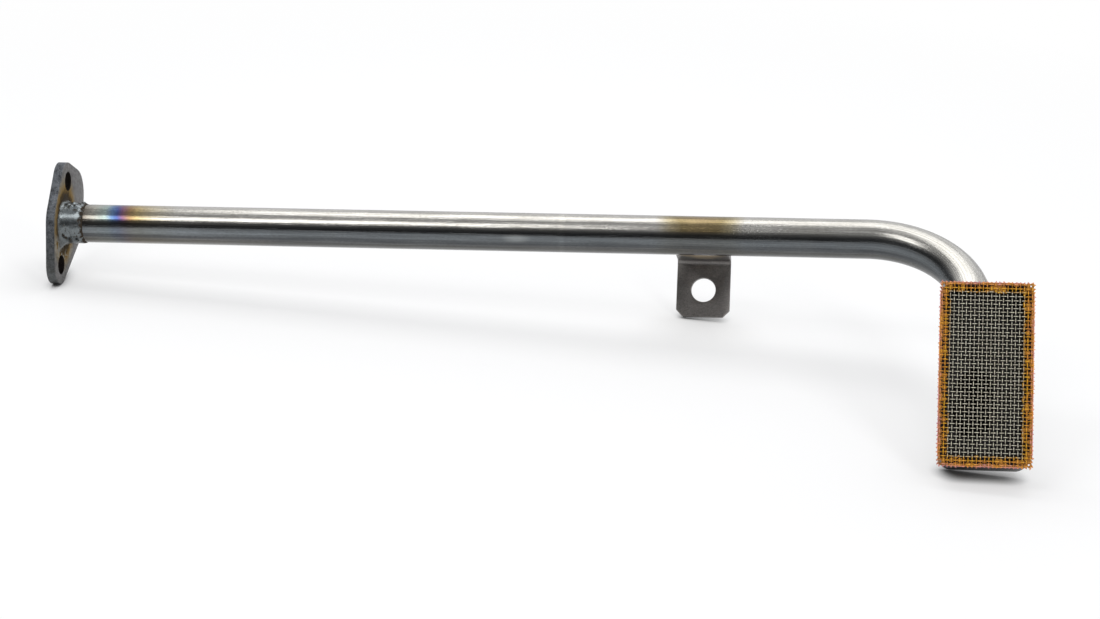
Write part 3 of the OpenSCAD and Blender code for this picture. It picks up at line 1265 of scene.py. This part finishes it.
@dataclass
class Bracket:
    """The folded sheet behind the run and its two weld beads."""

    edge: float = 0.35
    sides: int = 20
    rings: int = 64
    bead_r: float = 2.25
    bead_at: float = 0.6
    bead_sink: float = 0.2
    blunt: int = 5
    ripple: float = 0.10
    ripple_turns: float = 3.6
    ripple_curve: float = 1.2
    lump_h: float = 0.22
    lump_size: float = 2.2
    under_len: float = 20.0
    over_len: float = 18.0
    under_seed: float = 4.0
    over_seed: float = 9.0
    finish: FoldedSheet = FoldedSheet()
    weld: WeldMetal = WeldMetal(
        bright=(0.30, 0.275, 0.245), burnt=(0.13, 0.09, 0.058), burnt_share=0.12, name="bracket_weld"
    )

    def build(self) -> None:
        """Builds the sheet and the two beads."""
        sheet = cad_copy("bracket", self.edge)
        finish_piece(sheet, "bracket_sheet", self.finish.material(), ["bracket"])
        metal = self.weld.material()
        under = self.bead(-LAYOUT.leg_down, -1.0, self.under_len, self.under_seed)
        over = self.bead(LAYOUT.bracket_t - LAYOUT.leg_down, 1.0, self.over_len, self.over_seed)
        finish_piece(under, "bracket_bead_under", metal, ["bracket_weld_front"])
        finish_piece(over, "bracket_bead_over", metal, ["bracket_weld_rear"])

    def bead(self, face: float, side: float, length: float, seed: float) -> Piece:
        """Models one rippled bead in the crevice between the leg and the tube.

        Args:
            face: Height of the leg's face.
            side: Side of the leg, -1 under it and 1 over it.
            length: Length of the bead.
            seed: Shifts its lumps.

        Returns:
            The bead in its place.
        """
        crevice = math.sqrt(LAYOUT.tube_r**2 - face**2)
        lumps = Lumps(self.lump_h, self.lump_size, seed)

        def point(round_: float, along: float) -> Vector:
            """Gives a point of the bead.

            Args:
                round_: Angle round the bead.
                along: Way along it, from -1 to 1.

            Returns:
                The point in the hung frame.
            """
            place = Vector((along * length / 2, math.cos(round_), math.sin(round_)))
            wave = place.x * self.ripple_turns + self.ripple_curve * math.cos(round_)
            radius = self.bead_r + self.ripple * math.sin(wave) + lumps.at(place)
            radius *= math.sqrt(max(0.0, 1.0 - abs(along) ** self.blunt))
            out = radius * math.cos(round_)
            rise = side * abs(radius * math.sin(round_)) if math.sin(round_) > 0 else -side * self.bead_sink
            return Vector((LAYOUT.bracket_at + place.x, crevice + self.bead_at + out, face + rise))

        return bead_piece(self.sides, self.rings, point, LAYOUT.rest())


@dataclass
class ScreenBox:
    """The drawn pan and the bead round the tube on its back."""

    edge: float = 0.5
    rounds: int = 220
    section: int = 20
    bead: float = 2.5
    bead_wide: float = 0.72
    bead_high: float = 0.85
    sink_in: float = 0.4
    sink_down: float = 0.15
    ripple: float = 0.14
    ripples: int = 26
    ripple_curve: float = 1.5
    lump_r: float = 12.0
    lumps: Lumps = Lumps(0.25, 3.0, 6.0)
    finish: BoxSheet = BoxSheet()
    weld: WeldMetal = WeldMetal(bright=(0.33, 0.32, 0.30), burnt_share=0.12, name="box_weld")

    def build(self) -> None:
        """Builds the pan and the bead."""
        pan = cad_copy("screen_box", self.edge)
        finish_piece(pan, "screen_pan", self.finish.material(), ["screen_box"])
        ring = ring_piece(self.rounds, self.section, self.bead_point, LAYOUT.box())
        finish_piece(ring, "tube_entry_bead", self.weld.material(), ["box_weld"])

    def bead_point(self, round_: float, across: float) -> Vector:
        """Gives a point of the bead round the tube.

        Args:
            round_: Angle round the tube.
            across: Angle round the bead's section.

        Returns:
            The point in the box's frame.
        """
        slope = math.radians(LAYOUT.leg_slope)
        middle = LAYOUT.entry_up - LAYOUT.box_len / 2
        out = Vector((math.cos(round_), math.sin(round_) / math.cos(slope), 0.0))
        foot = LAYOUT.tube_r * out + Vector((-LAYOUT.entry_side, middle, 0.0))
        place = self.lump_r * Vector((math.cos(round_), math.sin(round_), 0.0))
        wave = self.ripples * round_ + self.ripple_curve * math.cos(across)
        size = self.bead + self.ripple * math.sin(wave) + self.lumps.at(place)
        side, down = math.cos(across), math.sin(across)
        away = self.bead_wide * size * max(0.0, side) - self.sink_in * max(0.0, -side)
        lift = self.sink_down * max(0.0, -down) - self.bead_high * size * max(0.0, down)
        leg = Vector((0.0, -math.tan(slope), 1.0))
        return foot + out.normalized() * away + leg * lift


# Stands for the height of the weave where there is no wire
BESIDE_WIRE = -1.0

# Share of a wire's length that counts as its end
WIRE_END = 0.001


@dataclass(frozen=True)
class WireSet:
    """One set of the weave: length, crossings and pitch of its wires, their number and their gap."""

    length: float
    crossings: int
    pitch: float
    count: int
    gap: float
    upright: bool


@dataclass
class Screen:
    """The woven wire over the box's mouth.

    A wire strays from its place by a share of the gap, its ends stand over the screen's edge and
    drop a little, and it bends sideways.
    """

    columns: int = 23
    rows: int = 46
    wire_r: float = 0.175
    wave: float = 0.180
    sides: int = 8
    steps: int = 4
    stray: float = 0.07
    ends_over: Pair = (-0.1, 0.7)
    end_len: float = 4.0
    end_drop: float = 0.35
    bend: float = 0.10
    bend_len: float = 9.0
    bend_seeds: Pair = (0.0, 90.0)
    end_bend: float = 1.5
    seed: int = 11
    finish: BrazedWire = BrazedWire()

    def __post_init__(self) -> None:
        """Works out the weave's sizes."""
        self.width = LAYOUT.box_w + 2 * LAYOUT.screen_over
        self.length = LAYOUT.box_len + 2 * LAYOUT.screen_over
        self.pitch_x = self.width / self.columns
        self.pitch_y = self.length / self.rows
        self.level = LAYOUT.box_depth + LAYOUT.screen_t / 2

    def build(self) -> None:
        """Builds the two sets of wires."""
        chance = random.Random(self.seed)
        metal = self.finish.material()
        upright = WireSet(self.length, self.rows, self.pitch_y, self.columns, self.pitch_x, True)
        cross = WireSet(self.width, self.columns, self.pitch_x, self.rows, self.pitch_y, False)
        upright_wires = self.wires(upright, chance)
        cross_wires = self.wires(cross, chance)
        finish_piece(upright_wires, "screen_upright_wires", metal, ["screen"])
        finish_piece(cross_wires, "screen_cross_wires", metal, ["screen"])

    def wires(self, plan: WireSet, chance: random.Random) -> Piece:
        """Models one wire and copies it into one set of the weave.

        Args:
            plan: The set.
            chance: Source of the small differences between wires.

        Returns:
            All wires of the set as one object.
        """
        first = self.one_wire(plan)
        copies = [first]
        for _ in range(1, plan.count):
            other = bpy.data.objects.new(first.name, first.data.copy())
            bpy.context.scene.collection.objects.link(other)
            copies.append(other)
        for index, piece in enumerate(copies):
            side = 1.0 if (index % 2 == 0) == plan.upright else -1.0
            offset = (index + 0.5 - plan.count / 2 + chance.uniform(-self.stray, self.stray)) * plan.gap
            ends = (chance.uniform(*self.ends_over), chance.uniform(*self.ends_over))
            self.lay(piece, plan, offset, side, ends, chance.uniform(*self.bend_seeds))
        bpy.ops.object.select_all(action="DESELECT")
        for piece in copies:
            piece.select_set(True)
        bpy.context.view_layer.objects.active = first
        bpy.ops.object.join()
        close_up(first)
        settle(first, LAYOUT.box())
        smooth(first)
        return first

    def one_wire(self, plan: WireSet) -> Piece:
        """Models one straight run of wire with its waves, along X, from a circle.

        Args:
            plan: The set that the wire is for.

        Returns:
            The wire, centred.
        """
        start = -plan.length / 2
        piece = circle_across_x(self.sides, self.wire_r, start, filled=True)
        with editing(piece):
            extrude(Vector((plan.length, 0.0, 0.0)), plan.crossings * self.steps)
        for point in piece.data.vertices:
            point.co.z += self.wave * math.sin(math.pi * (point.co.x - start) / plan.pitch)
        return piece

    def lay(
        self, piece: Piece, plan: WireSet, offset: float, side: float, ends: Pair, seed: float
    ) -> None:
        """Lays one wire in its place in the weave.

        Args:
            piece: The wire along X.
            plan: The set that it belongs to.
            offset: Its place across the set.
            side: Which way its first wave goes, 1 or -1.
            ends: How far its two ends stand over the screen's edges.
            seed: Shifts its small bends.
        """
        for point in piece.data.vertices:
            along, across, height = point.co
            share = along / plan.length + 0.5
            if share < WIRE_END:
                along -= ends[0]
            elif share > 1 - WIRE_END:
                along += ends[1]
            near_end = max(0.0, abs(along) - plan.length / 2 + self.end_len) / self.end_len
            bend = Lumps(self.bend, self.bend_len, seed).at(Vector((along, 0.0, seed)))
            across += offset + bend * (1 + self.end_bend * near_end)
            height = side * height + self.level - self.end_drop * near_end**2
            point.co = (across, along, height) if plan.upright else (along, across, height)

    def wire_top(self, x: float, y: float) -> float:
        """Gives the height of the topmost wire over the weave's middle.

        Args:
            x: Place across the screen.
            y: Place along the screen.

        Returns:
            The height, or BESIDE_WIRE between the wires.
        """
        column = (x + self.width / 2) / self.pitch_x
        row = (y + self.length / 2) / self.pitch_y
        upright = self.crown(column, self.pitch_x, row, 1.0)
        cross = self.crown(row, self.pitch_y, column, -1.0)
        return max(upright, cross)

    def crown(self, across: float, pitch: float, along: float, first: float) -> float:
        """Gives the height of the nearest wire of one set.

        Args:
            across: Place across the set, in wires.
            pitch: Distance between its wires.
            along: Place along the wire, in crossings.
            first: Which way the set's first wire starts, 1 or -1.

        Returns:
            The height, or BESIDE_WIRE.
        """
        index = math.floor(across)
        off = (across - index - 0.5) * pitch
        if abs(off) >= self.wire_r:
            return BESIDE_WIRE
        side = first if index % 2 == 0 else -first
        return side * self.wave * math.sin(math.pi * along) + math.sqrt(self.wire_r**2 - off**2)


@dataclass(frozen=True)
class Border:
    """The braze along one edge of the screen: its width and the stretch where more gaps stayed open."""

    width: float
    seed: float
    bare_from: float = 0.0
    bare_to: float = 0.0
    bare_odds: float = 0.0


BORDERS = {
    Edge.LEFT: Border(3.3, 2.9, -math.inf, -12.0, 0.3),
    Edge.RIGHT: Border(4.2, 11.1),
    Edge.TOP: Border(4.0, 8.0, -math.inf, -2.0, 0.25),
    Edge.BOTTOM: Border(4.2, 6.0, 4.0, math.inf, 0.3),
}


@dataclass
class Braze:
    """The braze that holds the screen: a sheet over its border, and what ran down the box's walls.

    The sheet fills the gaps up to a height that falls inwards, covers the wires, turns down at its
    lip and bulges out at each wire's end. Gaps stay open by odds that grow inwards.
    """

    cells: int = 860
    rows: int = 16
    reach: float = 6.0
    sheet_t: float = 0.42
    over_wire: float = 0.05
    fill: float = -0.12
    fill_fall: float = 0.03
    lip: float = 0.15
    lip_drop: float = 0.25
    bulge_from: float = 0.45
    bulge: float = 0.75
    wide_below: float = -18.0
    wide_by: float = 0.8
    least_odds: float = 0.05
    more_odds: float = 0.12
    odds_from: float = 1.6
    closed_edge: float = 0.5
    gap_seed: float = 3.5
    smooth_below: float = 50
    run_rounds: int = 640
    run_section: int = 16
    run: float = 1.9
    run_t: float = 0.62
    run_rib: float = 0.16
    run_above: float = 0.45
    run_sink: float = 0.05
    end_wall: float = 0.7
    width_lumps: Pair = (1.3, 3.2)
    fill_lumps: Lumps = Lumps(0.16, 1.6, 21.0)
    edge_lumps: Lumps = Lumps(0.25, 2.0, 31.0)
    run_lumps: Lumps = Lumps(0.8, 4.0, 14.0)
    drip_lumps: Lumps = Lumps(0.3, 1.4, 15.0)
    thick_lumps: Lumps = Lumps(0.2, 1.5, 16.0)
    finish: RunBraze = RunBraze()
    screen: Screen = field(default_factory=Screen)

    def __post_init__(self) -> None:
        """Takes over the weave's sizes."""
        self.width, self.length = self.screen.width, self.screen.length
        self.pitch_x, self.pitch_y = self.screen.pitch_x, self.screen.pitch_y

    def build(self) -> None:
        """Builds the sheet over the border and the skirt on the walls."""
        border = self.border_sheet()
        skirt = self.skirt()
        brass = self.finish.material()
        finish_piece(border, "braze_border", brass, ["braze"])
        finish_piece(skirt, "braze_skirt", brass, ["braze"])

    def border_width(self, edge: Edge, along: float) -> float:
        """Gives the width of the brazed border at a place of an edge.

        Args:
            edge: The screen's edge.
            along: The place along that edge.

        Returns:
            The width.
        """
        border = BORDERS[edge]
        width = border.width
        if edge is Edge.LEFT and along < self.wide_below:
            width += self.wide_by
        return width + Lumps(*self.width_lumps, border.seed).at(Vector((along, 0.0, 0.0)))

    def border_place(self, u: float, inward: float) -> tuple[float, float, Edge]:
        """Gives a place on the screen's border.

        Args:
            u: Share of the way round the screen.
            inward: Distance in from the edge.

        Returns:
            The place across and along the screen, and the edge that it belongs to.
        """
        half_w, half_l = self.width / 2 - inward, self.length / 2 - inward
        share = self.width / (2 * (self.width + self.length))
        if u < share:
            return -half_w + 2 * half_w * u / share, -half_l, Edge.BOTTOM
        if u < 0.5:
            return half_w, -half_l + 2 * half_l * (u - share) / (0.5 - share), Edge.RIGHT
        if u < 0.5 + share:
            return half_w - 2 * half_w * (u - 0.5) / share, half_l, Edge.TOP
        return -half_w, half_l - 2 * half_l * (u - 0.5 - share) / (0.5 - share), Edge.LEFT

    def border_sheet(self) -> Piece:
        """Models the braze over the border, from a grid.

        Returns:
            The braze in its place.
        """
        bpy.ops.object.select_all(action="DESELECT")
        bpy.ops.mesh.primitive_grid_add(
            x_subdivisions=self.cells, y_subdivisions=self.rows, size=1.0
        )
        piece = bpy.context.object
        for point in piece.data.vertices:
            row = point.co.y + 0.5
            x, y, edge = self.border_place((point.co.x + 0.5) % 1.0, 0.0)
            inward = self.scallop(x, y, edge) * (1.0 - row) + self.reach * row
            x, y, _ = self.border_place((point.co.x + 0.5) % 1.0, inward)
            fill = self.fill + self.fill_lumps.at(Vector((x, y, 0.0))) - self.fill_fall * inward
            height = max(fill, self.screen.wire_top(x, y) + self.over_wire)
            if inward < self.lip:
                height = min(height, fill - self.lip_drop)
            point.co = (x, y, self.screen.level + height)
        close_up(piece)
        self.open_gaps(piece)
        if sum(face.normal.z for face in piece.data.polygons) < 0:
            flip_faces(piece)
        body = piece.modifiers.new("body", "SOLIDIFY")
        body.thickness = self.sheet_t
        body.offset = -1.0
        apply_modifiers(piece)
        settle(piece, LAYOUT.box())
        smooth(piece, self.smooth_below)
        return piece

    def scallop(self, x: float, y: float, edge: Edge) -> float:
        """Gives the braze's ragged outer edge, which bulges at each wire's end.

        Args:
            x: Place across the screen.
            y: Place along the screen.
            edge: The edge that the place belongs to.

        Returns:
            The distance in from the screen's edge, below zero outside it.
        """
        if edge in (Edge.TOP, Edge.BOTTOM):
            phase = (x + self.width / 2) / self.pitch_x - 0.5
        else:
            phase = (y + self.length / 2) / self.pitch_y - 0.5
        bulge = self.bulge * (0.5 + 0.5 * math.cos(2 * math.pi * phase))
        return self.bulge_from - bulge + self.edge_lumps.at(Vector((x, y, 0.0)))

    def open_gaps(self, piece: Piece) -> None:
        """Removes the braze past the border's inner edge and in the gaps it left open.

        Args:
            piece: The sheet over the border, in the box's frame.
        """
        pick_only(piece)
        bpy.ops.object.mode_set(mode="EDIT")
        bpy.ops.mesh.select_mode(type="FACE")
        bpy.ops.mesh.select_all(action="DESELECT")
        mesh = bmesh.from_edit_mesh(piece.data)
        for face in mesh.faces:
            middle = face.calc_center_median()
            face.select = self.is_open(middle.x, middle.y)
        bmesh.update_edit_mesh(piece.data)
        bpy.ops.mesh.delete(type="FACE")
        bpy.ops.mesh.select_all(action="SELECT")
        bpy.ops.mesh.delete_loose()
        bpy.ops.object.mode_set(mode="OBJECT")

    def is_open(self, x: float, y: float) -> bool:
        """Says whether a place of the border is free of braze.

        Args:
            x: Place across the screen.
            y: Place along the screen.

        Returns:
            True where the sheet is removed.
        """
        from_x = self.width / 2 - abs(x)
        from_y = self.length / 2 - abs(y)
        if from_x < from_y:
            edge, inward, along = (Edge.RIGHT if x > 0 else Edge.LEFT), from_x, y
        else:
            edge, inward, along = (Edge.TOP if y > 0 else Edge.BOTTOM), from_y, x
        if inward > self.border_width(edge, along):
            return True
        if self.screen.wire_top(x, y) > BESIDE_WIRE:
            return False
        column = math.floor((x + self.width / 2) / self.pitch_x)
        row = math.floor((y + self.length / 2) / self.pitch_y)
        draw = noise.cell(Vector((column + 0.5, row + 0.5, self.gap_seed)))
        odds = self.least_odds + self.more_odds * max(0.0, inward - self.odds_from)
        border = BORDERS[edge]
        if border.bare_from < along < border.bare_to:
            odds += border.bare_odds
        return draw < odds and inward > self.closed_edge

    def skirt(self) -> Piece:
        """Models the braze that ran down the box's walls and returns it."""
        return ring_piece(self.run_rounds, self.run_section, self.skirt_point, LAYOUT.box())

    def skirt_point(self, round_: float, across: float) -> Vector:
        """Gives a point of the braze on the walls.

        Args:
            round_: Angle that stands for the way round the box.
            across: Angle round the section.

        Returns:
            The point in the box's frame.
        """
        wall, out = self.wall_place(round_ / (2 * math.pi) % 1.0)
        run = self.run + self.run_lumps.at(wall) + self.drip_lumps.at(wall)
        wires = wall.x / self.pitch_x if abs(out.y) > self.end_wall else wall.y / self.pitch_y
        rib = self.run_rib * math.cos(2 * math.pi * wires)
        thick = self.run_t + rib + self.thick_lumps.at(wall)
        down = 0.5 - 0.5 * math.sin(across)
        if math.cos(across) > 0:
            away = thick * math.sqrt(max(0.0, 1.0 - down**3))
        else:
            away = -self.run_sink
        height = LAYOUT.box_depth + self.run_above - (run + self.run_above) * down
        return wall + out * away + Vector((0.0, 0.0, height))

    def wall_place(self, share: float) -> tuple[Vector, Vector]:
        """Walks round the box's outside.

        Args:
            share: Share of the way round.

        Returns:
            The place on the wall and the way out from it.
        """
        r = LAYOUT.box_corner
        flat_w, flat_l = LAYOUT.box_w - 2 * r, LAYOUT.box_len - 2 * r
        quarter = math.pi * r / 2
        way = share * (2 * flat_w + 2 * flat_l + 4 * quarter)
        turn = 0.0
        corner = Vector((flat_w / 2, -flat_l / 2, 0.0))
        for flat in (flat_l, flat_w, flat_l, flat_w):
            out = Vector((math.cos(turn), math.sin(turn), 0.0))
            ahead = Vector((-math.sin(turn), math.cos(turn), 0.0))
            if way <= flat:
                return corner + out * r + ahead * way, out
            way -= flat
            corner = corner + ahead * flat
            if way <= quarter:
                angle = turn + way / r
                out = Vector((math.cos(angle), math.sin(angle), 0.0))
                return corner + out * r, out
            way -= quarter
            turn += math.pi / 2
        return corner + Vector((r, 0.0, 0.0)), Vector((1.0, 0.0, 0.0))


@dataclass(frozen=True)
class Softbox:
    """A flat studio light that faces the part."""

    name: str
    place: Triple
    aim: Triple
    size: Pair
    level: float

    def build(self) -> None:
        """Adds the light."""
        bpy.ops.object.light_add(type="AREA", location=self.place)
        lamp = bpy.context.object
        lamp.name = self.name
        lamp.data.shape = "RECTANGLE"
        lamp.data.size = self.size[0]
        lamp.data.size_y = self.size[1]
        lamp.data.energy = self.level * math.pi * self.size[0] * self.size[1]
        back = (Vector(self.place) - Vector(self.aim)).normalized()
        across = Vector((1.0, 0.0, 0.0))
        up = back.cross(across).normalized()
        across = up.cross(back).normalized()
        turned = Matrix((across, up, back)).transposed().to_4x4()
        lamp.matrix_world = Matrix.Translation(Vector(self.place)) @ turned


@dataclass
class Studio:
    """White floor, soft lights, dim room and the camera."""

    floor_half: float = 4.0
    floor_at: float = 0.3
    floor_white: float = 0.5
    contact: float = 0.008
    contact_range: Pair = (0.30, 0.85)
    middle: Triple = (0.24, -0.03, 0.0)
    shadow_reach: float = 0.36
    all_white: float = 0.70
    floor_grey: Colour = (0.95, 0.95, 0.95)
    # Floor colour where the part nearly touches: painted contact shadow
    painted_contact_shadow: Colour = (0.34, 0.34, 0.34)
    room_tint: Colour = (0.985, 0.995, 1.02)
    front_wall: Levels = ((0.0, 0.066), (0.2, 0.09), (0.5, 0.26), (0.8, 0.45), (1.0, 0.74))
    wall_change: Pair = (0.1, 0.6)
    rear_wall: Levels = ((0.0, 0.33), (0.25, 1.15), (0.62, 1.27), (0.9, 0.78), (1.0, 0.74))
    eye: Triple = (0.382480, -1.158910, 0.447118)
    pitch: float = 0.38219
    yaw: float = -0.11155
    roll: float = -0.05271
    lens: float = 82.801
    sensor: float = 36.0
    clip: Pair = (0.01, 50.0)
    lights: tuple[Softbox, ...] = (
        Softbox("overhead_light", (0.24, 0.43, 0.96), (0.24, -0.01, 0.0), (1.05, 0.56), 2.3),
        Softbox("front_strip", (-0.22, -0.54, 0.85), (0.10, -0.02, 0.02), (0.58, 0.33), 3.6),
        Softbox("screen_light", (1.02, -0.92, 0.62), (0.46, -0.11, 0.01), (0.30, 0.60), 6.0),
    )

    def build(self) -> None:
        """Builds floor, lights, room and camera."""
        self.build_floor()
        for light in self.lights:
            light.build()
        self.build_room()
        self.build_camera()

    def build_floor(self) -> None:
        """Builds the white floor under the lowest point of the part, with a painted contact shadow that
        darkens it where the part touches it.
        """
        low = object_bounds()[0][2]
        bpy.ops.object.select_all(action="DESELECT")
        bpy.ops.mesh.primitive_plane_add(size=2 * self.floor_half, location=(self.floor_at, 0.0, low))
        floor = bpy.context.object
        bpy.ops.object.transform_apply(location=True, rotation=True, scale=True)
        floor.name = "floor"
        g = Graph.named("white_floor")
        # Painted contact shadow: the floor's colour and its white darken where the part nearly touches it
        touch = g.add("AmbientOcclusion", "AO", {"Distance": self.contact})
        open_ = g.spread(touch, *self.contact_range)
        g.into("Base Color", g.mix(open_, self.painted_contact_shadow, self.floor_grey))
        g.into("Roughness", 0.9)
        g.into("Specular IOR Level", 0.0)
        camera, glossy, through = (
            g.add("LightPath", ray, {})
            for ray in ("Is Camera Ray", "Is Glossy Ray", "Is Transmission Ray")
        )
        seen = g.math("MINIMUM", g.math("ADD", g.math("ADD", camera, glossy), through), 1.0)
        seen = g.times(seen, open_)
        away = g.distance(g.place(), self.middle)
        share = g.spread(away, self.shadow_reach, self.all_white, self.floor_white, 1.0)
        white = g.add("Emission", 0, {"Strength": 1.0})
        blend = g.add("MixShader", 0, {0: g.times(seen, share), 1: g.shader.outputs[0], 2: white})
        g.feed(blend, g.tree.nodes["Material Output"].inputs["Surface"])
        floor.data.materials.append(g.owner)
        floor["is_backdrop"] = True

    def build_room(self) -> None:
        """Builds the room round the floor, dim in front of the part and bright behind it."""
        world = bpy.data.worlds.new("room")
        bpy.context.scene.world = world
        g = Graph(world)
        _, back, up = g.split(g.add("TexCoord", "Generated", {}))
        front = g.ramp(up, self.stops(self.front_wall))
        rear = g.ramp(up, self.stops(self.rear_wall))
        room = g.layer(front, rear, back, *self.wall_change)
        g.feed(room, g.tree.nodes["Background"].inputs["Color"])

    def stops(self, levels: Levels) -> list[Stop]:
        """Gives the tinted colours of one wall of the room from its brightness by height."""
        return [(height, tuple(level * part for part in self.room_tint)) for height, level in levels]

    def build_camera(self) -> None:
        """Builds the camera at the photograph's viewing angle."""
        ahead = Vector(
            (
                math.sin(self.yaw) * math.cos(self.pitch),
                math.cos(self.yaw) * math.cos(self.pitch),
                -math.sin(self.pitch),
            )
        )
        level = Vector((math.cos(self.yaw), -math.sin(self.yaw), 0.0))
        down = ahead.cross(level)
        right = math.cos(self.roll) * level + math.sin(self.roll) * down
        down = -math.sin(self.roll) * level + math.cos(self.roll) * down
        data = bpy.data.cameras.new("camera")
        data.sensor_width = self.sensor
        data.lens = self.lens
        data.clip_start, data.clip_end = self.clip
        camera = bpy.data.objects.new("camera", data)
        bpy.context.scene.collection.objects.link(camera)
        turned = Matrix((right, -down, -ahead)).transposed().to_4x4()
        camera.matrix_world = Matrix.Translation(Vector(self.eye)) @ turned
        bpy.context.scene.camera = camera


def main() -> None:
    """Builds the part and its studio in order."""
    logging.basicConfig(level=logging.INFO, format="%(name)s: %(message)s")
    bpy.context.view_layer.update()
    bpy.context.scene.view_settings.view_transform = "Standard"
    Studio().build()
    for assembly in (Tube(), Flange(), Bracket(), ScreenBox(), Screen(), Braze()):
        assembly.build()


if __name__ == "__main__":
    main()
